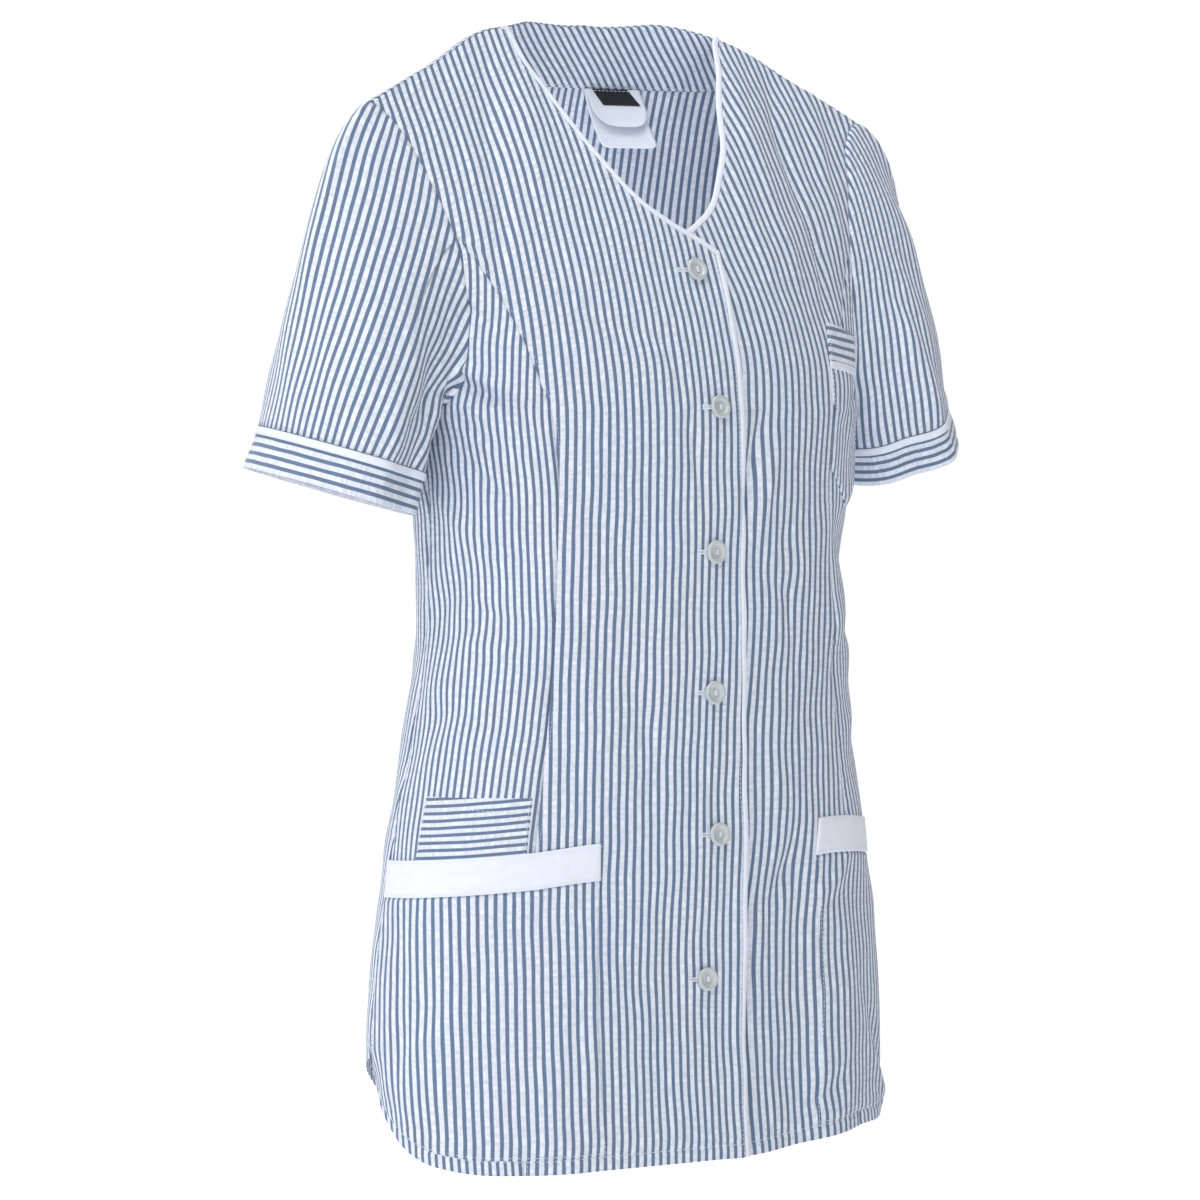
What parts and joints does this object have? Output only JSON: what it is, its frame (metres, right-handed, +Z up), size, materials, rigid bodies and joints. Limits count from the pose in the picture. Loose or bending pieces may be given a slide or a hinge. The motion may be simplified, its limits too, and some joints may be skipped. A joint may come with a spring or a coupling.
{
  "type": "work tunic",
  "caption": "Short-sleeved striped work tunic, worn and hollow, with a V neck, button front, turn-up cuffs, hip and chest pockets and side vents.",
  "frame": {"origin": "between the two neck points and 4.5 mm above them, where the tunic hangs on its wearer's shoulders", "axes": "+Z up along the body, -Y out of the centre front, +X towards the wearer's left"},
  "size_m": [0.5494, 0.203, 0.7483],
  "materials": {
    "striped_cotton": "crinkled cotton with lengthwise steel-blue and white stripes",
    "white_cotton": "plain woven white cotton",
    "pearl_button": "polished translucent grey-white",
    "black_label": "smooth woven ribbon"
  },
  "bodies": {
    "root": {"back": "striped_cotton", "back_neck_facing": "striped_cotton", "button_1": "pearl_button", "button_2": "pearl_button", "button_3": "pearl_button", "button_4": "pearl_button", "button_5": "pearl_button", "button_6": "pearl_button", "care_label": "white_cotton", "chest_pocket": "striped_cotton", "chest_pocket_band": "striped_cotton", "chest_pocket_tape": "white_cotton", "cuff_left": "striped_cotton", "cuff_right": "striped_cotton", "cuff_tape_left": "white_cotton", "cuff_tape_right": "white_cotton", "edge_binding_left": "white_cotton", "edge_binding_right": "white_cotton", "front_left": "striped_cotton", "front_right": "striped_cotton", "lower_pocket_left": "striped_cotton", "lower_pocket_right": "striped_cotton", "phone_pocket": "striped_cotton", "pocket_band_left": "white_cotton", "pocket_band_right": "white_cotton", "side_front_left": "striped_cotton", "side_front_right": "striped_cotton", "size_label": "black_label", "sleeve_left": "striped_cotton", "sleeve_right": "striped_cotton"}
  },
  "joints": []
}
